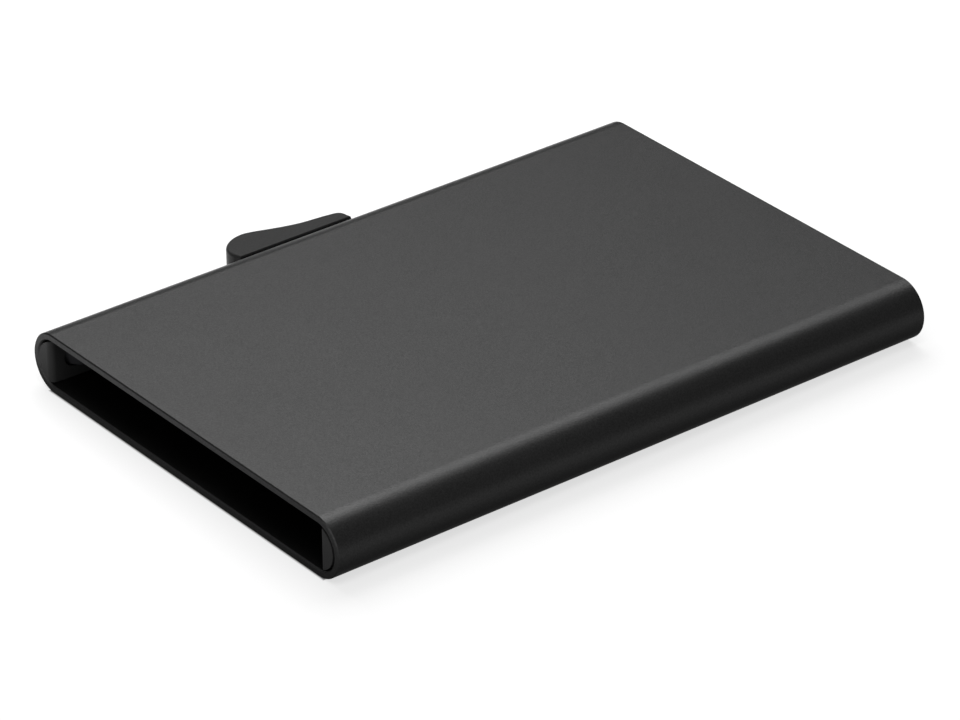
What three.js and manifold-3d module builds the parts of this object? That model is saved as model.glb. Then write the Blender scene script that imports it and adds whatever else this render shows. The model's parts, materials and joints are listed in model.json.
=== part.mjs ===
// Minimalist wallet: a flat aluminium sleeve for bank cards with a thumb lever on one long side.
// Pushing the lever towards the open end swings a stepped arm that fans the cards out.
// Millimetres, +Z up. The origin is the centre of the sleeve's flat underside.
// The open end faces -Y, the lever is on the -X side, the closed end faces +Y.
import * as THREE from 'three';
import { mergeVertices } from 'three/addons/utils/BufferGeometryUtils.js';
import Module from 'manifold-3d';

const wasm = await Module();
wasm.setup();

// Driving dimensions of the sleeve.
const LENGTH = 91;
const WIDTH = 62.8;
const THICKNESS = 8.2;
const WALL = 1;
const RIM_CHAMFER = 0.15;
const BORE_CHAMFER = 0.2;

// Places that follow from them.
const MOUTH_Y = -LENGTH / 2;
const BACK_Y = LENGTH / 2;
const MID_Z = THICKNESS / 2;
const SIDE_RADIUS = THICKNESS / 2;
const BORE_RADIUS = SIDE_RADIUS - WALL;
const SIDE_X = WIDTH / 2 - SIDE_RADIUS;

// Clearances.
const FIT = 0.1;
const RUNNING = 0.25;
const END_GAP = 0.3;

// Rails: a D-shaped nose closes each round side at the mouth, a thin web guides the cards behind it.
const NOSE_DEPTH = 1.9;
const NOSE_ROUND = 0.8;
const RAIL_RADIUS = BORE_RADIUS - FIT;
const RAIL_FACE_X = SIDE_X + 0.4;
const WEB_BACK_X = RAIL_FACE_X + 0.8;
const RIB_COUNT = 5;
const RIB_DEPTH = 1;

// Rear cap and the lugs that hold the pivot pin.
const CAP_DEPTH = 1;
const CAP_FRONT_Y = BACK_Y - CAP_DEPTH;
const PIVOT_X = 26.2;
const PIVOT_Y = 41.9;
const PIN_RADIUS = 0.75;
const LUG_RADIUS = 1.6;
const LUG_HEIGHT = 0.85;

// Sliding carriage behind the lever-side web, and its travel towards the mouth.
const TRAVEL = 23;
const CARRIAGE_RADIUS = BORE_RADIUS - RUNNING;
const CARRIAGE_FACE_X = WEB_BACK_X + 0.2;
const CARRIAGE_FRONT_Y = -13;
const PLATE_DEPTH = 1;
const PLATE_BACK_Y = CAP_FRONT_Y - END_GAP;
const PLATE_FRONT_Y = PLATE_BACK_Y - PLATE_DEPTH;
const FINGER_TIP_X = -20.6;
const FINGER_BOTTOM = 1.35;
const FINGER_HEIGHT = 1;

// Thumb lever: a fin outside the sleeve on two posts that pass through a slot.
const LEVER_INNER_X = WIDTH / 2 + RUNNING;
const LEVER_HEIGHT = 4.9;
const LEVER_EDGE = 0.4;
const POST_YS = [-10.5, -3.5];
const POST_LENGTH = 3;
const POST_HEIGHT = 1.8;
const POST_TIP_X = CARRIAGE_FACE_X + 0.5;
const SLOT_HEIGHT = POST_HEIGHT + 2 * END_GAP;
const SLOT_FRONT_Y = POST_YS[0] - POST_LENGTH / 2 - TRAVEL - 0.5;
const SLOT_BACK_Y = POST_YS[1] + POST_LENGTH / 2 + 0.5;

// Stepped arm: one fin for each card, longest at the bottom.
const FIN_LENGTHS = [52.5, 44, 36, 28, 20];
const FIN_BOTTOM = 1.3;
const FIN_HEIGHT = 1.12;
const FIN_FRONT = 1.15;
const FIN_REAR = 0.25;
const NUB_RADIUS = 0.5;

// Card retention leaf spring in a window of the lever-side rail.
const LEAF_THICKNESS = 0.3;
const LEAF_HEIGHT = 2.4;
const LEAF_RISE = 1.85;
const LEAF_X = -28.4;
const WINDOW_FRONT_Y = MOUTH_Y + NOSE_DEPTH + 0.15;
const WINDOW_BACK_Y = WINDOW_FRONT_Y + 5;
const WINDOW_HEIGHT = 3;
const LEAF_TIP_Y = WINDOW_FRONT_Y + 0.25;
const LEAF_ROOT_Y = WINDOW_BACK_Y - 0.15;
const LEAF_END_Y = LEAF_ROOT_Y + 1.35;
const SPRING_BLOCK_DEPTH = 1.6;

const anodised = new THREE.MeshStandardMaterial({ color: 0x2b2b2d, roughness: 0.5, metalness: 0.9 });
const blackPlastic = new THREE.MeshStandardMaterial({ color: 0x1c1c1d, roughness: 0.6, metalness: 0 });
const leverPlastic = new THREE.MeshStandardMaterial({ color: 0x2a2a2b, roughness: 0.45, metalness: 0 });
const steel = new THREE.MeshStandardMaterial({ color: 0xb4b6b8, roughness: 0.3, metalness: 1 });
const blackSteel = new THREE.MeshStandardMaterial({ color: 0x1a1a1b, roughness: 0.55, metalness: 0.8 });

/** Turns a closed three.js geometry into a solid that can be cut and joined. */
function solidOf(geometry) {
  const bare = geometry.index ? geometry.toNonIndexed() : geometry.clone();
  bare.deleteAttribute('normal');
  bare.deleteAttribute('uv');
  const merged = mergeVertices(bare, 1e-5);
  const vertProperties = new Float32Array(merged.attributes.position.array);
  const triVerts = new Uint32Array(merged.index.array);
  return new wasm.Manifold(new wasm.Mesh({ numProp: 3, vertProperties, triVerts }));
}

/** Turns a solid back into a geometry for a mesh. */
function geometryOf(solid) {
  const mesh = solid.getMesh();
  const geometry = new THREE.BufferGeometry();
  geometry.setAttribute('position', new THREE.BufferAttribute(mesh.vertProperties, 3));
  geometry.setIndex(new THREE.BufferAttribute(mesh.triVerts, 1));
  geometry.computeVertexNormals();
  return geometry;
}

function namedMesh(name, solid, material) {
  const mesh = new THREE.Mesh(geometryOf(solid), material.clone());
  mesh.name = name;
  return mesh;
}

/** A block between two corners, given as ranges on each axis. */
function block([x0, x1], [y0, y1], [z0, z1]) {
  const geometry = new THREE.BoxGeometry(x1 - x0, y1 - y0, z1 - z0);
  geometry.translate((x0 + x1) / 2, (y0 + y1) / 2, (z0 + z1) / 2);
  return solidOf(geometry);
}

/** A round bar along Y, centred on one round side of the sleeve. */
function roundBar(side, radius, [y0, y1]) {
  const geometry = new THREE.CylinderGeometry(radius, radius, y1 - y0, 64);
  geometry.translate(side * SIDE_X, (y0 + y1) / 2, MID_Z);
  return solidOf(geometry);
}

/** An upright round bar along Z. */
function uprightBar(x, y, radius, [z0, z1]) {
  const geometry = new THREE.CylinderGeometry(radius, radius, z1 - z0, 32);
  geometry.rotateX(Math.PI / 2);
  geometry.translate(x, y, (z0 + z1) / 2);
  return solidOf(geometry);
}

/** The part of a round bar between two distances from the middle plane: a D where it reaches the outside. */
function sideSegment(side, radius, [inner, outer], ys) {
  const xs = [side * inner, side * outer].sort((a, b) => a - b);
  return roundBar(side, radius, ys).intersect(block(xs, ys, [0, THICKNESS]));
}

/** The sleeve's flat-sided section with round ends, drawn in X and Z. */
function stadium(radius) {
  const shape = new THREE.Shape();
  shape.moveTo(-SIDE_X, MID_Z - radius);
  shape.lineTo(SIDE_X, MID_Z - radius);
  shape.absarc(SIDE_X, MID_Z, radius, -Math.PI / 2, Math.PI / 2);
  shape.lineTo(-SIDE_X, MID_Z + radius);
  shape.absarc(-SIDE_X, MID_Z, radius, Math.PI / 2, 1.5 * Math.PI);
  return shape;
}

/** Extrudes a shape drawn in X and Z along Y. The chamfer eats into both ends. */
function alongY(shape, [y0, y1], chamfer = 0) {
  const geometry = new THREE.ExtrudeGeometry(shape, {
    depth: y1 - y0 - 2 * chamfer,
    curveSegments: 20,
    bevelEnabled: chamfer > 0,
    bevelThickness: chamfer,
    bevelSize: chamfer,
    bevelOffset: -chamfer,
    bevelSegments: 1,
  });
  geometry.rotateX(Math.PI / 2);
  geometry.translate(0, y1 - chamfer, 0);
  return solidOf(geometry);
}

/** Extrudes a shape drawn in X and Y along Z, with an optional rounded edge. */
function alongZ(shape, [z0, z1], edge = 0) {
  const geometry = new THREE.ExtrudeGeometry(shape, {
    depth: z1 - z0 - 2 * edge,
    curveSegments: 10,
    bevelEnabled: edge > 0,
    bevelThickness: edge,
    bevelSize: edge,
    bevelOffset: -edge,
    bevelSegments: 3,
  });
  geometry.translate(0, 0, z0 + edge);
  return solidOf(geometry);
}

/** Extruded sleeve, open at both ends, with the lever's slot in its -X side. */
function makeShell() {
  const outside = alongY(stadium(SIDE_RADIUS), [MOUTH_Y, BACK_Y], RIM_CHAMFER);
  const bore = alongY(stadium(BORE_RADIUS), [MOUTH_Y - 1, BACK_Y + 1]);
  const flareYs = [MOUTH_Y - 1, MOUTH_Y + BORE_CHAMFER];
  const flare = alongY(stadium(BORE_RADIUS + BORE_CHAMFER), flareYs, BORE_CHAMFER);
  const slotRadius = SLOT_HEIGHT / 2;
  const slot = new THREE.Shape();
  slot.absarc(SLOT_FRONT_Y + slotRadius, MID_Z, slotRadius, Math.PI / 2, 1.5 * Math.PI);
  slot.absarc(SLOT_BACK_Y - slotRadius, MID_Z, slotRadius, -Math.PI / 2, Math.PI / 2);
  const cutter = new THREE.ExtrudeGeometry(slot, { depth: 2 * WALL, bevelEnabled: false });
  // Shape X becomes Y, shape Y becomes Z, and the extrusion runs along +X through the side wall.
  cutter.applyMatrix4(new THREE.Matrix4().set(0, 0, 1, 0, 1, 0, 0, 0, 0, 1, 0, 0, 0, 0, 0, 1));
  cutter.translate(-WIDTH / 2 - WALL / 2, 0, 0);
  return outside.subtract(bore).subtract(flare).subtract(solidOf(cutter));
}

/** D-shaped nose of a rail. Its edge beside the opening is rounded, to lead the cards in. */
function railNose(side) {
  const outer = SIDE_X + RAIL_RADIUS;
  const nose = sideSegment(side, RAIL_RADIUS, [RAIL_FACE_X, outer], [MOUTH_Y, MOUTH_Y + NOSE_DEPTH]);
  const xs = [side * (RAIL_FACE_X - 1), side * (RAIL_FACE_X + NOSE_ROUND)].sort((a, b) => a - b);
  const zs = [0, THICKNESS];
  const round = uprightBar(side * (RAIL_FACE_X + NOSE_ROUND), MOUTH_Y + NOSE_ROUND, NOSE_ROUND, zs);
  const corner = block(xs, [MOUTH_Y - 1, MOUTH_Y + NOSE_ROUND], zs).subtract(round);
  return nose.subtract(corner);
}

function railWeb(side, backY) {
  return sideSegment(side, RAIL_RADIUS, [RAIL_FACE_X, WEB_BACK_X], [MOUTH_Y + NOSE_DEPTH, backY]);
}

/** Lever-side rail: nose, web, the block that holds the leaf spring, and the way for the drive finger. */
function makeSliderRail() {
  const outer = SIDE_X + RAIL_RADIUS;
  const blockYs = [WINDOW_BACK_Y, WINDOW_BACK_Y + SPRING_BLOCK_DEPTH];
  const springBlock = sideSegment(-1, RAIL_RADIUS, [RAIL_FACE_X, outer], blockYs);
  const windowZs = [MID_Z - WINDOW_HEIGHT / 2, MID_Z + WINDOW_HEIGHT / 2];
  const window = block([-outer, 0], [WINDOW_FRONT_Y, WINDOW_BACK_Y], windowZs);
  const slitXs = [LEAF_X - LEAF_THICKNESS / 2 - RUNNING, LEAF_X + LEAF_THICKNESS / 2 + RUNNING];
  const slit = block(slitXs, [WINDOW_BACK_Y - 0.1, LEAF_END_Y + 0.15], windowZs);
  const wayYs = [PLATE_FRONT_Y - TRAVEL - END_GAP, PLATE_BACK_Y + 1];
  const fingerWay = block([-WIDTH / 2, 0], wayYs, [0, FINGER_BOTTOM + FINGER_HEIGHT + END_GAP]);
  const whole = railNose(-1).add(railWeb(-1, PLATE_BACK_Y)).add(springBlock);
  return whole.subtract(window).subtract(slit).subtract(fingerWay);
}

/** Plain rail: nose, web and ribs that brace the web against the round side. */
function makePlainRail() {
  const outer = SIDE_X + RAIL_RADIUS;
  const webBackY = PIVOT_Y - LUG_RADIUS - 2 * END_GAP;
  const firstRibY = MOUTH_Y + NOSE_DEPTH + 12;
  const pitch = (webBackY - RIB_DEPTH - firstRibY) / (RIB_COUNT - 1);
  let rail = railNose(1).add(railWeb(1, webBackY));
  for (let i = 0; i < RIB_COUNT; i += 1) {
    const y = firstRibY + i * pitch;
    rail = rail.add(sideSegment(1, RAIL_RADIUS, [RAIL_FACE_X, outer], [y, y + RIB_DEPTH]));
  }
  return rail;
}

/** Rear cap: a plate that closes the back end, with two lugs for the pivot pin. */
function makeRearCap() {
  const floor = MID_Z - RAIL_RADIUS;
  const ceiling = MID_Z + RAIL_RADIUS;
  let cap = alongY(stadium(RAIL_RADIUS), [CAP_FRONT_Y, BACK_Y]);
  for (const zs of [[floor, floor + LUG_HEIGHT], [ceiling - LUG_HEIGHT, ceiling]]) {
    const neckXs = [PIVOT_X - LUG_RADIUS, PIVOT_X + LUG_RADIUS];
    const neck = block(neckXs, [PIVOT_Y, CAP_FRONT_Y + CAP_DEPTH / 2], zs);
    cap = cap.add(neck).add(uprightBar(PIVOT_X, PIVOT_Y, LUG_RADIUS, zs));
  }
  return cap.subtract(uprightBar(PIVOT_X, PIVOT_Y, PIN_RADIUS + FIT, [0, THICKNESS]));
}

function makePivotPin() {
  return uprightBar(PIVOT_X, PIVOT_Y, PIN_RADIUS, [MID_Z - RAIL_RADIUS, MID_Z + RAIL_RADIUS]);
}

/** Carriage: a bar of D section that runs behind the lever-side web. */
function makeCarriage() {
  const outer = SIDE_X + CARRIAGE_RADIUS;
  const ys = [CARRIAGE_FRONT_Y, PLATE_FRONT_Y];
  let bar = sideSegment(-1, CARRIAGE_RADIUS, [CARRIAGE_FACE_X, outer], ys);
  const half = POST_LENGTH / 2 + 0.15;
  const zs = [MID_Z - POST_HEIGHT / 2 - 0.15, MID_Z + POST_HEIGHT / 2 + 0.15];
  for (const y of POST_YS) {
    bar = bar.subtract(block([-WIDTH / 2, 0], [y - half, y + half], zs));
  }
  return bar;
}

/** Steel drive plate on the carriage's back end, with the finger that pushes the arm. */
function makeDrivePlate() {
  const ys = [PLATE_FRONT_Y, PLATE_BACK_Y];
  const root = block([-WIDTH / 2, -CARRIAGE_FACE_X], ys, [0, THICKNESS]);
  const finger = block([-WIDTH / 2, FINGER_TIP_X], ys, [FINGER_BOTTOM, FINGER_BOTTOM + FINGER_HEIGHT]);
  return root.add(finger).intersect(alongY(stadium(CARRIAGE_RADIUS), ys));
}

/** The lever's plan: a round nose towards the mouth, then a hollow slope for the thumb. */
function leverOutline() {
  const outline = new THREE.Shape();
  outline.moveTo(-LEVER_INNER_X, -13.8);
  outline.lineTo(-32.5, -14.1);
  outline.quadraticCurveTo(-32.9, -14.2, -33.4, -14.2);
  outline.bezierCurveTo(-35.2, -14.2, -36.82, -12.3, -36.82, -10.0);
  outline.bezierCurveTo(-36.82, -8.0, -35.1, -4.6, -34.55, -1.0);
  outline.lineTo(-33.98, 2.4);
  outline.bezierCurveTo(-33.85, 3.3, -33.3, 3.72, -32.4, 3.72);
  outline.lineTo(-LEVER_INNER_X, 3.72);
  return outline;
}

function makeThumbLever() {
  let lever = alongZ(leverOutline(), [MID_Z - LEVER_HEIGHT / 2, MID_Z + LEVER_HEIGHT / 2], LEVER_EDGE);
  const half = POST_LENGTH / 2;
  const zs = [MID_Z - POST_HEIGHT / 2, MID_Z + POST_HEIGHT / 2];
  for (const y of POST_YS) {
    lever = lever.add(block([-LEVER_INNER_X - 1, -POST_TIP_X], [y - half, y + half], zs));
  }
  return lever;
}

/** Stepped arm: five stacked fins on one hub, and a round nub that the drive finger pushes. */
function makeFanArm() {
  const hubZs = [MID_Z - RAIL_RADIUS + LUG_HEIGHT + 0.15, MID_Z + RAIL_RADIUS - LUG_HEIGHT - 0.15];
  const finXEnd = PIVOT_X - LUG_RADIUS - 0.5;
  const finYs = [PIVOT_Y - FIN_FRONT, PIVOT_Y + FIN_REAR];
  let arm = uprightBar(PIVOT_X, PIVOT_Y, LUG_RADIUS, hubZs).add(block([finXEnd, PIVOT_X], finYs, hubZs));
  FIN_LENGTHS.forEach((length, i) => {
    const bottom = FIN_BOTTOM + i * FIN_HEIGHT;
    arm = arm.add(block([PIVOT_X - length, finXEnd], finYs, [bottom, bottom + FIN_HEIGHT]));
  });
  const nubX = PIVOT_X - FIN_LENGTHS[0] + NUB_RADIUS + 0.1;
  const nubY = PIVOT_Y + FIN_REAR + 0.3;
  arm = arm.add(uprightBar(nubX, nubY, NUB_RADIUS, [FIN_BOTTOM, FIN_BOTTOM + FIN_HEIGHT]));
  return arm.subtract(uprightBar(PIVOT_X, PIVOT_Y, PIN_RADIUS + FIT, [0, THICKNESS]));
}

/** Leaf spring: a straight root, then a hump that stands out into the card space. */
function makeRetentionSpring() {
  const steps = 18;
  const innerEdge = [];
  const outerEdge = [];
  for (let i = 0; i <= steps; i += 1) {
    const t = i / steps;
    const y = LEAF_ROOT_Y + t * (LEAF_TIP_Y - LEAF_ROOT_Y);
    const x = LEAF_X + LEAF_RISE * Math.sin(Math.PI * t) ** 2;
    innerEdge.push(new THREE.Vector2(x + LEAF_THICKNESS / 2, y));
    outerEdge.push(new THREE.Vector2(x - LEAF_THICKNESS / 2, y));
  }
  const root = [
    new THREE.Vector2(LEAF_X - LEAF_THICKNESS / 2, LEAF_END_Y),
    new THREE.Vector2(LEAF_X + LEAF_THICKNESS / 2, LEAF_END_Y),
  ];
  const leaf = new THREE.Shape([...root, ...innerEdge, ...outerEdge.reverse()]);
  return alongZ(leaf, [MID_Z - LEAF_HEIGHT / 2, MID_Z + LEAF_HEIGHT / 2]);
}

const wallet = new THREE.Group();
wallet.add(namedMesh('shell', makeShell(), anodised));
wallet.add(namedMesh('slider_rail', makeSliderRail(), blackPlastic));
wallet.add(namedMesh('plain_rail', makePlainRail(), blackPlastic));
wallet.add(namedMesh('rear_cap', makeRearCap(), blackPlastic));
wallet.add(namedMesh('arm_pivot_pin', makePivotPin(), steel));
wallet.add(namedMesh('fan_arm', makeFanArm(), blackPlastic));
wallet.add(namedMesh('carriage', makeCarriage(), blackPlastic));
wallet.add(namedMesh('drive_plate', makeDrivePlate(), steel));
wallet.add(namedMesh('thumb_lever', makeThumbLever(), leverPlastic));
wallet.add(namedMesh('retention_spring', makeRetentionSpring(), blackSteel));

export default wallet;
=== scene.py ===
"""Minimalist wallet: a card sleeve with its rails, thumb lever and the arm that fans the cards out."""
import json
import math

import bmesh
import bpy
from mathutils import Matrix, Vector


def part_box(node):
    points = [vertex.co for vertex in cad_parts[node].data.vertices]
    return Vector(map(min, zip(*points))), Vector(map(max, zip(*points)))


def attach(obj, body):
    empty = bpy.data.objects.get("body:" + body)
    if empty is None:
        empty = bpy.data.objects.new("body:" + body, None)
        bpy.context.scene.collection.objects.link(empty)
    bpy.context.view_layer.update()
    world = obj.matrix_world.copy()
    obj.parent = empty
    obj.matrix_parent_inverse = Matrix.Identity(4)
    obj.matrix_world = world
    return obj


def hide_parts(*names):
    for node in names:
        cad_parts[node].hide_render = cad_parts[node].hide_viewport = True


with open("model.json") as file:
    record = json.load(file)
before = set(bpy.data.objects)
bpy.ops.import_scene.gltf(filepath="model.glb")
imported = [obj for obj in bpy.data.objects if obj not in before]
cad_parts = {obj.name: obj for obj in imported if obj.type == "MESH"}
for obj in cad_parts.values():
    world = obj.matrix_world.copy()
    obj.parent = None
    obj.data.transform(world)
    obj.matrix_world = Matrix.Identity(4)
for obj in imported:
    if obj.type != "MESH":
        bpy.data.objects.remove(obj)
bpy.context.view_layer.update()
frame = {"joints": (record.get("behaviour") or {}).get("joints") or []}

MM = 0.001

# Sleeve, from the frame.
shell_low, shell_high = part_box("shell")
MOUTH_Y = shell_low.y
BACK_Y = shell_high.y
THICKNESS = shell_high.z - shell_low.z
MID_Z = (shell_high.z + shell_low.z) / 2
OUTER_RADIUS = THICKNESS / 2
SIDE_X = shell_high.x - OUTER_RADIUS
WALL = 1.0 * MM
BORE_RADIUS = OUTER_RADIUS - WALL
RIM_CHAMFER = 0.15 * MM
REAR_CHAMFER = 0.05 * MM
RIM_INNER_ROUND = 0.2 * MM

# Rails and cap, from the frame.
rail_low, rail_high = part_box("slider_rail")
RAIL_RADIUS = (rail_high.z - rail_low.z) / 2
RAIL_FACE_X = -rail_high.x
RAIL_BACK_Y = rail_high.y
PLAIN_RAIL_BACK_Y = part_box("plain_rail")[1].y
NOSE_DEPTH = 1.9 * MM
NOSE_ROUND = 0.8 * MM
NOSE_GAP = 0.06 * MM
WEB_THICKNESS = 0.8 * MM
WEB_BACK_X = RAIL_FACE_X + WEB_THICKNESS
WINDOW_HEIGHT = 3.0 * MM
WINDOW_FRONT_Y = MOUTH_Y + NOSE_DEPTH + 0.15 * MM
WINDOW_BACK_Y = WINDOW_FRONT_Y + 5.0 * MM
SPRING_BLOCK_DEPTH = 1.6 * MM
RIB_COUNT = 5
RIB_DEPTH = 1.0 * MM
FIRST_RIB_OFFSET = 12.0 * MM
FINGER_WAY_HEIGHT = 2.65 * MM
CAP_DEPTH = 1.0 * MM
CAP_FRONT_Y = BACK_Y - CAP_DEPTH

# Moving pieces, from the frame.
lever_low, lever_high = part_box("thumb_lever")
pin_low, pin_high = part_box("arm_pivot_pin")
carriage_low, carriage_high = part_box("carriage")
plate_low, plate_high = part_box("drive_plate")
arm_low, arm_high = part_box("fan_arm")
leaf_low, leaf_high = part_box("retention_spring")
PIVOT = Vector(((pin_low.x + pin_high.x) / 2, (pin_low.y + pin_high.y) / 2, MID_Z))
PIN_RADIUS = (pin_high.x - pin_low.x) / 2
LUG_RADIUS = 1.6 * MM
LUG_HEIGHT = 0.85 * MM
CARRIAGE_RADIUS = -SIDE_X - carriage_low.x
LEVER_INNER_X = shell_low.x - 0.25 * MM
LEVER_EDGE = 0.45 * MM
FINGER_HEIGHT = 1.0 * MM
FIN_LENGTHS = (52.5 * MM, 44.0 * MM, 36.0 * MM, 28.0 * MM, 20.0 * MM)
NUB_RADIUS = 0.5 * MM
LEAF_THICKNESS = 0.3 * MM

# Clearances, and the rounding of sharp edges.
PIN_CLEARANCE = 0.1 * MM
RUNNING_CLEARANCE = 0.15 * MM
SLOT_END_GAP = 0.5 * MM
MOULDED_EDGE = 0.1 * MM
THIN_EDGE = 0.08 * MM
PIN_EDGE = 0.15 * MM
LEAF_EDGE = 0.06 * MM
SHARP_ANGLE = 32

# Slot in the shell and the lever's posts, which slide along it.
SLOT_HEIGHT = 2.4 * MM
POST_YS = (-10.5 * MM, -3.5 * MM)
POST_LENGTH = 3.0 * MM
POST_HEIGHT = 1.8 * MM
TRAVEL = frame["joints"][0]["range_m"][1]

# Camera, in degrees and metres.
CAMERA_AZIMUTH = 52.116
CAMERA_ELEVATION = 29.539
CAMERA_ROLL = -0.539
CAMERA_DISTANCE = 0.64192
CAMERA_AIM = Vector((-0.30, 0.02, 0.45)) * MM
CAMERA_LENS = 193.66
SENSOR_WIDTH = 36.0

# Finishes: darkest and lightest greys.
ANODISED_GREYS = (0.014, 0.046)
RAIL_GREYS = (0.008, 0.012)
LEVER_GREYS = (0.007, 0.010)
FLOOR_GREYS = (0.178, 0.182)

# Studio: the direction that the world is lightest in, its levels, and the soft boxes.
WORLD_LIGHT_SIDE = (0.55, -0.78, 0.3)
WORLD_DIM_AND_LIGHT = (0.30, 1.3)
WORLD_RAMP_SPAN = (0.3, 0.75)
# The floor as the wallet's gloss sees it, a painted reflection: levels on the -X and the +X side, and a
# painted shade at the wallet's foot.
GLOSS_PAINTED_REFLECTION_LEVELS = (2.4, 0.8)
GLOSS_PAINTED_REFLECTION_SPAN = (-36 * MM, 24 * MM)
GLOSS_PAINTED_SHADE_LEVEL = 0.3
GLOSS_SHADE_REACH = 9 * MM
# Half the width of the strip that the sleeve hides from the light where it touches the floor.
FOOT_X = SIDE_X + 1.0 * MM
# The floor's glow: even in the open, and low under the wallet, where it is a painted contact shadow; and the
# edge between them.
FLOOR_GLOW_AND_PAINTED_SHADOW = (0.05, 0.655)
PAINTED_SHADOW_EDGE = (-0.1 * MM, 0.2 * MM)
FLOOR_HALF_SIZE = 3.0
# Each soft box: azimuth, elevation, distance, size and power.
SOFT_BOXES = {
    "side_soft_box": (253.5, 53.3, 1.0, 0.77, 12.0),
    "back_soft_box": (205.3, 50.3, 1.0, 0.48, 2.63),
    "front_fill": (50, 64, 3.0, 1.0, 40),
}


# ---------------------------------------------------------------- mesh helpers

def object_from(name, verts, faces):
    """A mesh object from points and faces, with its normals made consistent."""
    mesh = bpy.data.meshes.new(name)
    mesh.from_pydata([tuple(v) for v in verts], [], faces)
    bm = bmesh.new()
    bm.from_mesh(mesh)
    bmesh.ops.recalc_face_normals(bm, faces=bm.faces)
    bm.to_mesh(mesh)
    bm.free()
    obj = bpy.data.objects.new(name, mesh)
    bpy.context.scene.collection.objects.link(obj)
    return obj


def loft(name, rings, closed=False):
    """Joins rings of equal length. An open loft gets a cap at each end; a closed one joins last to first."""
    count = len(rings[0])
    verts = [point for ring in rings for point in ring]
    faces = []
    spans = len(rings) if closed else len(rings) - 1
    for i in range(spans):
        here = i * count
        there = ((i + 1) % len(rings)) * count
        for j in range(count):
            k = (j + 1) % count
            faces.append((here + j, here + k, there + k, there + j))
    if not closed:
        last = (len(rings) - 1) * count
        faces.append(tuple(range(count)))
        faces.append(tuple(last + j for j in range(count)))
    return object_from(name, verts, faces)


def prism(name, outline, axis, low, high):
    """A straight solid: an outline drawn in the other two axes, run along one axis."""
    def place(point, along):
        a, b = point
        if axis == "X":
            return Vector((along, a, b))
        if axis == "Y":
            return Vector((a, along, b))
        return Vector((a, b, along))
    return loft(name, [[place(p, low) for p in outline], [place(p, high) for p in outline]])


def arc(centre, radius, start, end, steps):
    """Points on an arc, with angles in degrees."""
    angles = [math.radians(start + (end - start) * i / steps) for i in range(steps + 1)]
    return [(centre[0] + radius * math.cos(a), centre[1] + radius * math.sin(a)) for a in angles]


def bezier(p0, p1, p2, p3, steps):
    """Points on a cubic curve, without its first point."""
    points = []
    for i in range(1, steps + 1):
        t = i / steps
        weights = ((1 - t) ** 3, 3 * t * (1 - t) ** 2, 3 * t * t * (1 - t), t ** 3)
        x = sum(w * p[0] for w, p in zip(weights, (p0, p1, p2, p3)))
        y = sum(w * p[1] for w, p in zip(weights, (p0, p1, p2, p3)))
        points.append((x, y))
    return points


def rectangle(xs, ys):
    return [(xs[0], ys[0]), (xs[1], ys[0]), (xs[1], ys[1]), (xs[0], ys[1])]


def stadium(radius, steps=28):
    """The sleeve's section in X and Z, with half-round ends."""
    return arc((SIDE_X, MID_Z), radius, -90, 90, steps) + arc((-SIDE_X, MID_Z), radius, 90, 270, steps)


def side_segment(side, radius, inner, outer, steps=28):
    """The part of a round end between two distances from the middle plane, in X and Z."""
    start = math.degrees(math.acos(max(-1.0, min(1.0, (inner - SIDE_X) / radius))))
    end = math.degrees(math.acos(max(-1.0, min(1.0, (outer - SIDE_X) / radius))))
    if end < 1e-6:
        points = arc((SIDE_X, MID_Z), radius, -start, start, steps)
    else:
        half = steps // 2
        points = arc((SIDE_X, MID_Z), radius, -start, -end, half)
        points += arc((SIDE_X, MID_Z), radius, end, start, half)
    return [(side * x, z) for x, z in points]


def combine(base, tool, operation):
    """Joins or cuts two solids and keeps the result in the first."""
    modifier = base.modifiers.new("combine", "BOOLEAN")
    modifier.operation = operation
    modifier.object = tool
    modifier.solver = "EXACT"
    apply_modifiers(base)
    bpy.data.objects.remove(tool)
    return base


def apply_modifiers(obj):
    depsgraph = bpy.context.evaluated_depsgraph_get()
    mesh = bpy.data.meshes.new_from_object(obj.evaluated_get(depsgraph))
    old = obj.data
    obj.modifiers.clear()
    obj.data = mesh
    bpy.data.meshes.remove(old)


def clean(obj):
    """Merges doubled points and dissolves the seams that a cut leaves in flat faces."""
    bm = bmesh.new()
    bm.from_mesh(obj.data)
    bmesh.ops.remove_doubles(bm, verts=bm.verts, dist=0.002 * MM)
    bmesh.ops.dissolve_limit(bm, angle_limit=math.radians(0.5), verts=bm.verts, edges=bm.edges)
    bm.to_mesh(obj.data)
    bm.free()


def soften(obj, width, segments=3):
    """Rounds the sharp edges and shades the rest smooth."""
    clean(obj)
    modifier = obj.modifiers.new("edges", "BEVEL")
    modifier.width = width
    modifier.segments = segments
    modifier.limit_method = "ANGLE"
    modifier.angle_limit = math.radians(SHARP_ANGLE)
    modifier.harden_normals = False
    apply_modifiers(obj)
    smooth(obj)


def smooth(obj, angle=SHARP_ANGLE):
    """Smooth shading with flat faces kept flat."""
    obj.data.shade_smooth()
    obj.data.set_sharp_from_angle(angle=math.radians(angle))
    modifier = obj.modifiers.new("normals", "WEIGHTED_NORMAL")
    modifier.keep_sharp = True
    apply_modifiers(obj)


def settle(obj, material, body, slot, *nodes):
    """Gives a piece its finish, the body it rides on and the CAD nodes it stands for."""
    obj.data.materials.clear()
    obj.data.materials.append(material)
    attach(obj, body)
    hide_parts(*nodes)
    return obj


# ---------------------------------------------------------------- materials

def node_material(name):
    material = bpy.data.materials.new(name)
    material.use_nodes = True
    nodes = material.node_tree.nodes
    shader = nodes["Principled BSDF"]
    return material, nodes, material.node_tree.links, shader


def noise(nodes, links, coords, scale, detail=3.0, roughness=0.5):
    node = nodes.new("ShaderNodeTexNoise")
    node.inputs["Scale"].default_value = scale
    node.inputs["Detail"].default_value = detail
    node.inputs["Roughness"].default_value = roughness
    links.new(coords.outputs["Object"], node.inputs["Vector"])
    return node


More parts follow.
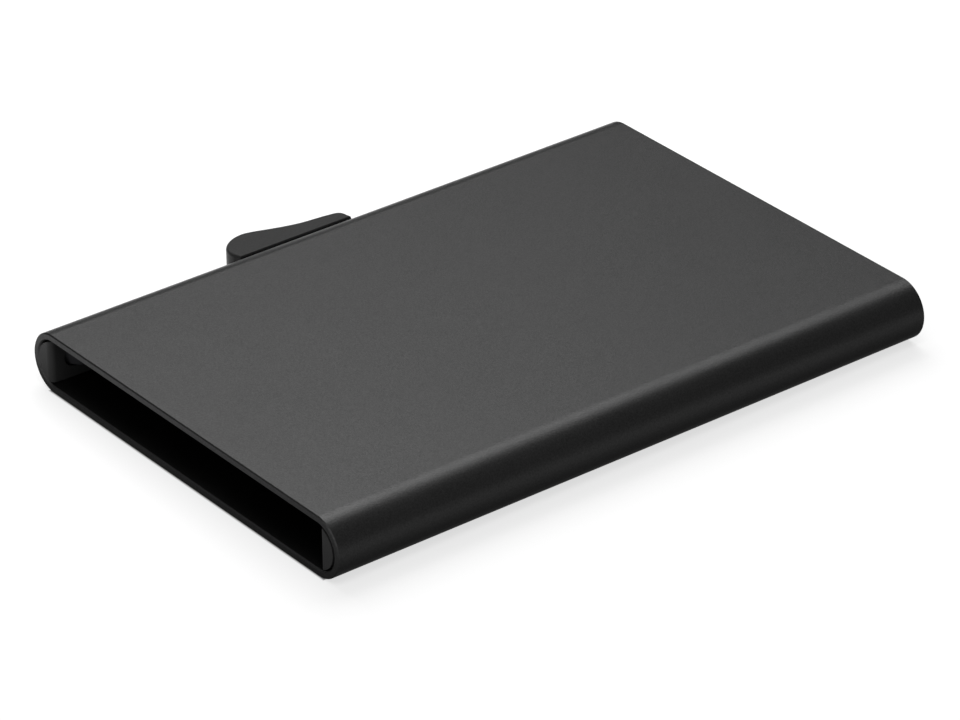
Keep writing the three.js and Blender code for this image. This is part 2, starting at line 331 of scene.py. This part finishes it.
def ramp(nodes, links, source, low, high, start=0.3, end=0.7):
    """Maps a 0 to 1 value to a range of greys."""
    node = nodes.new("ShaderNodeMapRange")
    node.inputs["From Min"].default_value = start
    node.inputs["From Max"].default_value = end
    node.inputs["To Min"].default_value = low
    node.inputs["To Max"].default_value = high
    links.new(source, node.inputs["Value"])
    return node


def bump(nodes, links, height, strength, distance, below=None):
    node = nodes.new("ShaderNodeBump")
    node.inputs["Strength"].default_value = strength
    node.inputs["Distance"].default_value = distance
    links.new(height, node.inputs["Height"])
    if below is not None:
        links.new(below.outputs["Normal"], node.inputs["Normal"])
    return node


def greys(levels):
    """A dark and a light colour from two grey levels."""
    return [(level, level, level) for level in levels]


def grey_mix(nodes, links, factor, dark, light):
    node = nodes.new("ShaderNodeMix")
    node.data_type = "RGBA"
    node.inputs["A"].default_value = (*dark, 1)
    node.inputs["B"].default_value = (*light, 1)
    links.new(factor, node.inputs["Factor"])
    return node


def anodised_material():
    """Bead-blasted, black anodised aluminium: a fine grain of tiny dimples and a soft sheen."""
    material, nodes, links, shader = node_material("black_anodised")
    coords = nodes.new("ShaderNodeTexCoord")
    grain = noise(nodes, links, coords, 5200, 2.0, 0.6)
    blotch = noise(nodes, links, coords, 90, 3.0)
    mix = grey_mix(nodes, links, grain.outputs["Fac"], *greys(ANODISED_GREYS))
    links.new(mix.outputs["Result"], shader.inputs["Base Color"])
    rough = ramp(nodes, links, blotch.outputs["Fac"], 0.37, 0.41)
    links.new(rough.outputs["Result"], shader.inputs["Roughness"])
    dimples = bump(nodes, links, grain.outputs["Fac"], 0.5, 0.03 * MM)
    links.new(dimples.outputs["Normal"], shader.inputs["Normal"])
    shader.inputs["Metallic"].default_value = 1.0
    shader.inputs["Specular Tint"].default_value = (0.55, 0.55, 0.55, 1)
    return material


def plastic_material(name, levels, roughness, specular):
    """Moulded plastic with a spark-eroded texture."""
    material, nodes, links, shader = node_material(name)
    coords = nodes.new("ShaderNodeTexCoord")
    fine = noise(nodes, links, coords, 4200, 3.0, 0.6)
    broad = noise(nodes, links, coords, 160, 2.0)
    mix = grey_mix(nodes, links, broad.outputs["Fac"], *greys(levels))
    links.new(mix.outputs["Result"], shader.inputs["Base Color"])
    rough = ramp(nodes, links, fine.outputs["Fac"], roughness - 0.05, roughness + 0.05)
    links.new(rough.outputs["Result"], shader.inputs["Roughness"])
    texture = bump(nodes, links, fine.outputs["Fac"], 0.4, 0.02 * MM)
    links.new(texture.outputs["Normal"], shader.inputs["Normal"])
    shader.inputs["Specular IOR Level"].default_value = specular
    return material


def steel_material():
    """Rolled steel with fine lines along its length."""
    material, nodes, links, shader = node_material("spring_steel")
    coords = nodes.new("ShaderNodeTexCoord")
    stretch = nodes.new("ShaderNodeMapping")
    stretch.inputs["Scale"].default_value = (1.0, 0.05, 1.0)
    links.new(coords.outputs["Object"], stretch.inputs["Vector"])
    lines = nodes.new("ShaderNodeTexNoise")
    lines.inputs["Scale"].default_value = 6000
    links.new(stretch.outputs["Vector"], lines.inputs["Vector"])
    mix = grey_mix(nodes, links, lines.outputs["Fac"], (0.36, 0.37, 0.38), (0.56, 0.57, 0.58))
    links.new(mix.outputs["Result"], shader.inputs["Base Color"])
    rough = ramp(nodes, links, lines.outputs["Fac"], 0.24, 0.36)
    links.new(rough.outputs["Result"], shader.inputs["Roughness"])
    shader.inputs["Metallic"].default_value = 1.0
    return material


def black_steel_material():
    """Spring steel, oil-blackened: dark, with faint mottling."""
    material, nodes, links, shader = node_material("black_steel")
    coords = nodes.new("ShaderNodeTexCoord")
    mottle = noise(nodes, links, coords, 900, 4.0, 0.6)
    mix = grey_mix(nodes, links, mottle.outputs["Fac"], (0.008, 0.008, 0.009), (0.02, 0.02, 0.021))
    links.new(mix.outputs["Result"], shader.inputs["Base Color"])
    rough = ramp(nodes, links, mottle.outputs["Fac"], 0.42, 0.56)
    links.new(rough.outputs["Result"], shader.inputs["Roughness"])
    shader.inputs["Metallic"].default_value = 1.0
    shader.inputs["Specular Tint"].default_value = (0.3, 0.3, 0.3, 1)
    return material


def math_node(nodes, links, operation, first, second):
    """A Math node; each input is a socket or a number."""
    node = nodes.new("ShaderNodeMath")
    node.operation = operation
    for value, socket in zip((first, second), node.inputs):
        if isinstance(value, bpy.types.NodeSocket):
            links.new(value, socket)
        else:
            socket.default_value = value
    return node.outputs["Value"]


def footprint_distance(nodes, links, coords, half_x, half_y):
    """How far a point of the floor is outside a rectangle about the origin; negative inside it."""
    parts = nodes.new("ShaderNodeSeparateXYZ")
    links.new(coords.outputs["Object"], parts.inputs["Vector"])
    beyond = []
    for axis, half in (("X", half_x), ("Y", half_y)):
        size = math_node(nodes, links, "ABSOLUTE", parts.outputs[axis], 0.0)
        beyond.append(math_node(nodes, links, "SUBTRACT", size, half))
    return math_node(nodes, links, "MAXIMUM", beyond[0], beyond[1])


def floor_material():
    """A pale acrylic table top with a faint, soft reflection, and a painted contact shadow: its glow is
    lowered under the wallet.
    """
    material, nodes, links, shader = node_material("pale_floor")
    coords = nodes.new("ShaderNodeTexCoord")
    broad = noise(nodes, links, coords, 3, 2.0)
    mix = grey_mix(nodes, links, broad.outputs["Fac"], *greys(FLOOR_GREYS))
    links.new(mix.outputs["Result"], shader.inputs["Base Color"])
    shader.inputs["Roughness"].default_value = 0.14
    shader.inputs["Specular IOR Level"].default_value = 0.25
    shader.inputs["Emission Color"].default_value = (1, 1, 1, 1)
    # Painted contact shadow: the glow drops where the floor lies under the wallet's footprint.
    open_floor = footprint_distance(nodes, links, coords, FOOT_X, BACK_Y)
    glow_with_painted_shadow = ramp(nodes, links, open_floor, *FLOOR_GLOW_AND_PAINTED_SHADOW, *PAINTED_SHADOW_EDGE)
    links.new(glow_with_painted_shadow.outputs["Result"], shader.inputs["Emission Strength"])
    return material


def painted_reflection_sheet_material():
    """What the wallet's gloss sees of the floor, all painted: a painted shade where the wallet stands, and a
    painted reflection of the floor, lighter away from it.
    """
    material, nodes, links, shader = node_material("painted_reflection_sheet")
    coords = nodes.new("ShaderNodeTexCoord")
    parts = nodes.new("ShaderNodeSeparateXYZ")
    links.new(coords.outputs["Object"], parts.inputs["Vector"])
    distance = footprint_distance(nodes, links, coords, shell_high.x, BACK_Y)
    far = ramp(nodes, links, parts.outputs["X"], *GLOSS_PAINTED_REFLECTION_LEVELS, *GLOSS_PAINTED_REFLECTION_SPAN).outputs["Result"]
    open_share = ramp(nodes, links, distance, 0.0, 1.0, 0.0, GLOSS_SHADE_REACH).outputs["Result"]
    gain = math_node(nodes, links, "SUBTRACT", far, GLOSS_PAINTED_SHADE_LEVEL)
    lift = math_node(nodes, links, "MULTIPLY", gain, open_share)
    level = math_node(nodes, links, "ADD", lift, GLOSS_PAINTED_SHADE_LEVEL)
    shader.inputs["Base Color"].default_value = (0, 0, 0, 1)
    shader.inputs["Specular IOR Level"].default_value = 0.0
    shader.inputs["Emission Color"].default_value = (1, 1, 1, 1)
    links.new(level, shader.inputs["Emission Strength"])
    return material


# ---------------------------------------------------------------- pieces

def rim_profile(y, inwards, chamfer, inner_round):
    """One end of the wall, from the outside to the bore, as pairs of radius and Y."""
    return [
        (OUTER_RADIUS, y + inwards * chamfer),
        (OUTER_RADIUS - chamfer, y),
        (BORE_RADIUS + inner_round, y),
        (BORE_RADIUS, y + inwards * inner_round),
    ]


def make_shell(material):
    """The extruded sleeve: a wall profile with a broken edge, run round the stadium section."""
    wall = rim_profile(MOUTH_Y, 1, RIM_CHAMFER, RIM_INNER_ROUND)
    wall += reversed(rim_profile(BACK_Y, -1, REAR_CHAMFER, REAR_CHAMFER))
    rings = [[Vector((x, y, z)) for x, z in stadium(radius, 48)] for radius, y in wall]
    shell = loft("shell_body", rings, closed=True)
    slot_low, slot_high = lever_slot_range()
    radius = SLOT_HEIGHT / 2
    outline = arc((slot_low + radius, MID_Z), radius, 90, 270, 14)
    outline += arc((slot_high - radius, MID_Z), radius, -90, 90, 14)
    cutter = prism("slot_cutter", outline, "X", shell_low.x - WALL, -SIDE_X - BORE_RADIUS + 1.2 * MM)
    combine(shell, cutter, "DIFFERENCE")
    clean(shell)
    smooth(shell, 25)
    return settle(shell, material, "sleeve", "anodised_shell", "shell")


def lever_slot_range():
    """Where the slot starts and ends along Y, a little past the posts' travel."""
    low = POST_YS[0] - POST_LENGTH / 2 - TRAVEL - SLOT_END_GAP
    high = POST_YS[1] + POST_LENGTH / 2 + SLOT_END_GAP
    return low, high


def make_nose_and_web(name, side, back_y):
    """A rail's D-shaped nose, rounded beside the opening to lead the cards in, and its thin web."""
    radius = RAIL_RADIUS - NOSE_GAP
    section = side_segment(side, radius, RAIL_FACE_X, SIDE_X + radius)
    nose = prism(name, section, "Y", MOUTH_Y, MOUTH_Y + NOSE_DEPTH)
    lead_in = arc((RAIL_FACE_X + NOSE_ROUND, MOUTH_Y + NOSE_ROUND), NOSE_ROUND, 270, 180, 12)
    lead_in.append((RAIL_FACE_X - NOSE_ROUND, MOUTH_Y + NOSE_ROUND))
    lead_in.append((RAIL_FACE_X - NOSE_ROUND, MOUTH_Y - NOSE_ROUND))
    lead_in.append((RAIL_FACE_X + NOSE_ROUND, MOUTH_Y - NOSE_ROUND))
    corner = prism("corner", [(side * x, y) for x, y in lead_in], "Z", 0.0, THICKNESS)
    combine(nose, corner, "DIFFERENCE")
    web_front = MOUTH_Y + NOSE_DEPTH - 0.2 * MM
    web = prism("web", side_segment(side, RAIL_RADIUS, RAIL_FACE_X, WEB_BACK_X), "Y", web_front, back_y)
    return combine(nose, web, "UNION")


def make_slider_rail(material):
    """Lever-side rail, with the leaf spring's window and the way for the drive finger."""
    outer = SIDE_X + RAIL_RADIUS
    rail = make_nose_and_web("slider_rail_body", -1, RAIL_BACK_Y)
    section = side_segment(-1, RAIL_RADIUS, RAIL_FACE_X, outer)
    block = prism("block", section, "Y", WINDOW_BACK_Y, WINDOW_BACK_Y + SPRING_BLOCK_DEPTH)
    combine(rail, block, "UNION")
    radius = WINDOW_HEIGHT / 2
    outline = arc((WINDOW_FRONT_Y + radius, MID_Z), radius, 90, 270, 16)
    outline += [(WINDOW_BACK_Y, MID_Z - radius), (WINDOW_BACK_Y, MID_Z + radius)]
    combine(rail, prism("window", outline, "X", -outer, -SIDE_X + 1.0 * MM), "DIFFERENCE")
    slit_half = (leaf_high.z - leaf_low.z) / 2 + 0.3 * MM
    slit_xs = (leaf_low.x - 0.25 * MM, leaf_low.x + 0.55 * MM)
    slit = rectangle(slit_xs, (WINDOW_BACK_Y - 0.1 * MM, leaf_high.y + RUNNING_CLEARANCE))
    combine(rail, prism("slit", slit, "Z", MID_Z - slit_half, MID_Z + slit_half), "DIFFERENCE")
    way = rectangle((plate_low.y - TRAVEL - 0.3 * MM, RAIL_BACK_Y + 1.0 * MM), (0.0, FINGER_WAY_HEIGHT))
    combine(rail, prism("way", way, "X", -outer - 1.0 * MM, 0.0), "DIFFERENCE")
    soften(rail, MOULDED_EDGE, 2)
    return settle(rail, material, "sleeve", "rail_plastic", "slider_rail")


def make_plain_rail(material):
    """Plain rail, with ribs that brace its web against the round side."""
    outer = SIDE_X + RAIL_RADIUS
    rail = make_nose_and_web("plain_rail_body", 1, PLAIN_RAIL_BACK_Y)
    first = MOUTH_Y + NOSE_DEPTH + FIRST_RIB_OFFSET
    pitch = (PLAIN_RAIL_BACK_Y - RIB_DEPTH - first) / (RIB_COUNT - 1)
    section = side_segment(1, RAIL_RADIUS, RAIL_FACE_X, outer)
    for i in range(RIB_COUNT):
        y = first + i * pitch
        combine(rail, prism("rib", section, "Y", y, y + RIB_DEPTH), "UNION")
    soften(rail, MOULDED_EDGE, 2)
    return settle(rail, material, "sleeve", "rail_plastic", "plain_rail")


def make_rear_cap(material):
    """End plate with two lugs for the arm's pin."""
    section = stadium(RAIL_RADIUS)
    cap = prism("rear_cap_body", section, "Y", CAP_FRONT_Y, BACK_Y)
    floor = MID_Z - RAIL_RADIUS
    ceiling = MID_Z + RAIL_RADIUS
    for low, high in ((floor, floor + LUG_HEIGHT), (ceiling - LUG_HEIGHT, ceiling)):
        outline = arc((PIVOT.x, PIVOT.y), LUG_RADIUS, 180, 360, 20)
        outline.append((PIVOT.x + LUG_RADIUS, CAP_FRONT_Y + 0.5 * MM))
        outline.append((PIVOT.x - LUG_RADIUS, CAP_FRONT_Y + 0.5 * MM))
        combine(cap, prism("lug", outline, "Z", low, high), "UNION")
    hole = arc((PIVOT.x, PIVOT.y), PIN_RADIUS + PIN_CLEARANCE, 0, 360, 32)[:-1]
    combine(cap, prism("hole", hole, "Z", -1.0 * MM, THICKNESS), "DIFFERENCE")
    soften(cap, MOULDED_EDGE, 2)
    return settle(cap, material, "sleeve", "rail_plastic", "rear_cap")


def make_pin(material):
    outline = arc((PIVOT.x, PIVOT.y), PIN_RADIUS, 0, 360, 40)[:-1]
    pin = prism("arm_pivot_pin_body", outline, "Z", pin_low.z, pin_high.z)
    soften(pin, PIN_EDGE, 3)
    return settle(pin, material, "sleeve", "steel", "arm_pivot_pin")


def make_fan_arm(material):
    """Stepped arm: a stair of fins on a hub, and the nub that the drive finger pushes."""
    rise = (arm_high.z - arm_low.z) / len(FIN_LENGTHS)
    front = PIVOT.y - 1.15 * MM
    rear = PIVOT.y + 0.25 * MM
    root = PIVOT.x - LUG_RADIUS - 0.5 * MM
    stair = [(root, arm_low.z)]
    for i, length in enumerate(FIN_LENGTHS):
        tip = PIVOT.x - length
        stair += [(tip, arm_low.z + i * rise), (tip, arm_low.z + (i + 1) * rise)]
    stair.append((root, arm_high.z))
    arm = prism("fan_arm_body", stair, "Y", front, rear)
    hub_low = MID_Z - RAIL_RADIUS + LUG_HEIGHT + RUNNING_CLEARANCE
    hub_high = MID_Z + RAIL_RADIUS - LUG_HEIGHT - RUNNING_CLEARANCE
    neck = rectangle((root - 0.5 * MM, PIVOT.x), (front, rear))
    combine(arm, prism("neck", neck, "Z", hub_low, hub_high), "UNION")
    hub = arc((PIVOT.x, PIVOT.y), LUG_RADIUS, 0, 360, 40)[:-1]
    combine(arm, prism("hub", hub, "Z", hub_low, hub_high), "UNION")
    nub_x = PIVOT.x - FIN_LENGTHS[0] + NUB_RADIUS + 0.1 * MM
    nub = arc((nub_x, rear + 0.3 * MM), NUB_RADIUS, 0, 360, 24)[:-1]
    combine(arm, prism("nub", nub, "Z", arm_low.z, arm_low.z + rise), "UNION")
    hole = arc((PIVOT.x, PIVOT.y), PIN_RADIUS + PIN_CLEARANCE, 0, 360, 32)[:-1]
    combine(arm, prism("hole", hole, "Z", 0.0, THICKNESS), "DIFFERENCE")
    soften(arm, THIN_EDGE, 2)
    return settle(arm, material, "arm", "rail_plastic", "fan_arm")


def make_carriage(material):
    """D-section bar with two holes for the lever's posts."""
    section = side_segment(-1, CARRIAGE_RADIUS, -carriage_high.x, SIDE_X + CARRIAGE_RADIUS)
    bar = prism("carriage_body", section, "Y", carriage_low.y, carriage_high.y)
    for y in POST_YS:
        half_length = POST_LENGTH / 2 + RUNNING_CLEARANCE
        half_height = POST_HEIGHT / 2 + RUNNING_CLEARANCE
        hole = rectangle((y - half_length, y + half_length), (MID_Z - half_height, MID_Z + half_height))
        combine(bar, prism("hole", hole, "X", carriage_low.x - WALL, 0.0), "DIFFERENCE")
    soften(bar, MOULDED_EDGE, 2)
    return settle(bar, material, "slider", "rail_plastic", "carriage")


def make_drive_plate(material):
    """Stamped steel plate with the finger that pushes the arm."""
    face_x = carriage_high.x
    finger_low = plate_low.z
    finger_high = finger_low + FINGER_HEIGHT
    gusset = 0.6 * MM
    overlap = 0.2 * MM
    section = side_segment(-1, CARRIAGE_RADIUS, -face_x, SIDE_X + CARRIAGE_RADIUS)
    plate = prism("drive_plate_body", section, "Y", plate_low.y, plate_high.y)
    finger = [
        (plate_high.x, finger_low),
        (plate_high.x, finger_high),
        (face_x - overlap, finger_high),
        (face_x - overlap, finger_low + gusset),
        (face_x + gusset, finger_low),
    ]
    combine(plate, prism("finger", finger, "Y", plate_low.y, plate_high.y), "UNION")
    soften(plate, THIN_EDGE, 2)
    return settle(plate, material, "slider", "steel", "drive_plate")


def make_retention_spring(material):
    """Leaf spring with a hump that stands out of the rail's window."""
    half = LEAF_THICKNESS / 2
    flat_x = leaf_low.x + half
    rise = leaf_high.x - leaf_low.x - LEAF_THICKNESS
    root_y = WINDOW_BACK_Y - RUNNING_CLEARANCE
    tip_y = leaf_low.y
    steps = 28
    inner = [(flat_x + half, leaf_high.y)]
    outer = [(flat_x - half, leaf_high.y)]
    for i in range(steps + 1):
        t = i / steps
        x = flat_x + rise * math.sin(math.pi * t) ** 2
        y = root_y + t * (tip_y - root_y)
        inner.append((x + half, y))
        outer.append((x - half, y))
    leaf = prism("retention_spring_body", inner + outer[::-1], "Z", leaf_low.z, leaf_high.z)
    soften(leaf, LEAF_EDGE, 2)
    return settle(leaf, material, "retainer", "black_steel", "retention_spring")


def lever_outline():
    """The lever's plan in millimetres: round towards the mouth, then a slope for the thumb."""
    inner_x = LEVER_INNER_X / MM
    points = [(inner_x, -13.8), (-32.5, -14.1)]
    points += bezier(points[-1], (-32.77, -14.17), (-33.07, -14.2), (-33.4, -14.2), 4)
    points += bezier(points[-1], (-35.2, -14.2), (-36.82, -12.3), (-36.82, -10.0), 20)
    points += bezier(points[-1], (-36.82, -8.0), (-35.1, -4.6), (-34.55, -1.0), 24)
    points += bezier(points[-1], (-34.36, 0.13), (-34.17, 1.27), (-33.98, 2.4), 6)
    points += bezier(points[-1], (-33.85, 3.3), (-33.3, 3.72), (-32.4, 3.72), 10)
    points.append((inner_x, 3.72))
    return [(x * MM, y * MM) for x, y in points]


def edge_width(x, y):
    """How wide the lever's rounded edge is for its height: narrow inside, wide on the thumb's slope."""
    if x > LEVER_INNER_X - 0.5 * MM:
        return 0.4
    along = (y + 4.5 * MM) / (6.0 * MM)
    return 1.0 + 1.8 * max(0.0, 1.0 - along * along) ** 2


def inset_outline(points, insets):
    """Moves each point of a closed outline inwards along the mean of its two edges' normals."""
    area = sum(a[0] * b[1] - b[0] * a[1] for a, b in zip(points, points[1:] + points[:1]))
    turn = 1.0 if area > 0 else -1.0
    moved = []
    for before, here, after, inset in zip(points[-1:] + points[:-1], points, points[1:] + points[:1], insets):
        first = (Vector(here) - Vector(before)).normalized()
        second = (Vector(after) - Vector(here)).normalized()
        mean = (first + second).normalized()
        normal = Vector((-mean.y, mean.x)) * turn
        spread = max(0.5, normal.dot(Vector((-first.y, first.x)) * turn))
        moved.append(tuple(Vector(here) + normal * inset / spread))
    return moved


def make_thumb_lever(material):
    """Fin lever: rounded edges, lofted from its plan outline, with two posts into the carriage."""
    low = lever_low.z
    high = lever_high.z
    steps = 6
    rings = []
    for i in range(steps + 1):
        angle = math.pi / 2 * i / steps
        rings.append((LEVER_EDGE * (1 - math.sin(angle)), low + LEVER_EDGE * (1 - math.cos(angle))))
    for i in range(steps + 1):
        angle = math.pi / 2 * (1 - i / steps)
        rings.append((LEVER_EDGE * (1 - math.sin(angle)), high - LEVER_EDGE * (1 - math.cos(angle))))
    outline = lever_outline()
    widths = [edge_width(x, y) for x, y in outline]
    placed = []
    for inset, z in rings:
        ring = inset_outline(outline, [inset * width for width in widths])
        placed.append([Vector((x, y, z)) for x, y in ring])
    lever = loft("thumb_lever_body", placed)
    tip_x = carriage_high.x - 0.5 * MM
    post_zs = (MID_Z - POST_HEIGHT / 2, MID_Z + POST_HEIGHT / 2)
    for y in POST_YS:
        post = rectangle((y - POST_LENGTH / 2, y + POST_LENGTH / 2), post_zs)
        combine(lever, prism("post", post, "X", LEVER_INNER_X - 1.0 * MM, tip_x), "UNION")
    clean(lever)
    smooth(lever, 38)
    return settle(lever, material, "slider", "lever_plastic", "thumb_lever")


# ---------------------------------------------------------------- studio

def aim_matrix(location, target):
    """A matrix that looks from a place to a target, with +Z up."""
    back = (location - target).normalized()
    right = Vector((0, 0, 1)).cross(back).normalized()
    up = back.cross(right)
    matrix = Matrix((right, up, back)).transposed().to_4x4()
    matrix.translation = location
    return matrix


def direction(azimuth, elevation):
    a = math.radians(azimuth)
    e = math.radians(elevation)
    return Vector((math.sin(a) * math.cos(e), -math.cos(a) * math.cos(e), math.sin(e)))


def make_camera():
    data = bpy.data.cameras.new("camera")
    data.lens = CAMERA_LENS
    data.sensor_width = SENSOR_WIDTH
    data.clip_start = 0.01
    data.clip_end = 20.0
    camera = bpy.data.objects.new("camera", data)
    bpy.context.scene.collection.objects.link(camera)
    location = CAMERA_AIM + direction(CAMERA_AZIMUTH, CAMERA_ELEVATION) * CAMERA_DISTANCE
    roll = Matrix.Rotation(math.radians(CAMERA_ROLL), 4, "Z")
    camera.matrix_world = aim_matrix(location, CAMERA_AIM) @ roll
    bpy.context.scene.camera = camera


def make_light(name, azimuth, elevation, distance, size, power):
    """A square soft box that faces the wallet."""
    data = bpy.data.lights.new(name, "AREA")
    data.shape = "SQUARE"
    data.size = size
    data.energy = power
    light = bpy.data.objects.new(name, data)
    light.visible_camera = False
    bpy.context.scene.collection.objects.link(light)
    light.matrix_world = aim_matrix(direction(azimuth, elevation) * distance, Vector((0, 0, 0)))


def make_world():
    """A studio that is light on the side that the mouth and the plain side face, and dim elsewhere."""
    world = bpy.data.worlds.new("studio")
    world.use_nodes = True
    nodes = world.node_tree.nodes
    links = world.node_tree.links
    coords = nodes.new("ShaderNodeTexCoord")
    towards = nodes.new("ShaderNodeVectorMath")
    towards.operation = "DOT_PRODUCT"
    towards.inputs[1].default_value = WORLD_LIGHT_SIDE
    links.new(coords.outputs["Generated"], towards.inputs[0])
    level = ramp(nodes, links, towards.outputs["Value"], *WORLD_DIM_AND_LIGHT, *WORLD_RAMP_SPAN)
    background = nodes["Background"]
    background.inputs["Color"].default_value = (1, 1, 1, 1)
    links.new(level.outputs["Result"], background.inputs["Strength"])
    world.cycles.sampling_method = "NONE"
    bpy.context.scene.world = world


def make_floor():
    """A pale table top, with a painted contact shadow in its glow under the wallet. The wallet's gloss sees a
    sheet in its place that is dark by the wallet's foot, a painted shade, and lighter away from it, a painted
    reflection.
    """
    size = FLOOR_HALF_SIZE
    corners = [(-size, -size, 0), (size, -size, 0), (size, size, 0), (-size, size, 0)]
    floor = object_from("floor", corners, [(0, 1, 2, 3)])
    floor.data.materials.append(floor_material())
    floor.visible_glossy = False
    # A sheet only the gloss sees: painted shade by the wallet's foot and a painted reflection of the floor
    # beyond it.
    sheet = object_from("painted_reflection_sheet", corners, [(0, 1, 2, 3)])
    sheet.data.materials.append(painted_reflection_sheet_material())
    sheet.visible_camera = False
    sheet.visible_diffuse = False
    sheet.visible_transmission = False
    sheet.visible_shadow = False


def make_studio():
    make_floor()
    make_world()
    for name, values in SOFT_BOXES.items():
        make_light(name, *values)
    bpy.context.scene.view_settings.view_transform = "Standard"


make_camera()
anodised = anodised_material()
rail_plastic = plastic_material("rail_plastic", RAIL_GREYS, 0.6, 0.1)
lever_plastic = plastic_material("lever_plastic", LEVER_GREYS, 0.5, 0.07)
steel = steel_material()
make_shell(anodised)
make_slider_rail(rail_plastic)
make_plain_rail(rail_plastic)
make_rear_cap(rail_plastic)
make_pin(steel)
make_fan_arm(rail_plastic)
make_carriage(rail_plastic)
make_drive_plate(steel)
make_retention_spring(black_steel_material())
make_thumb_lever(lever_plastic)
make_studio()

bpy.context.view_layer.update()
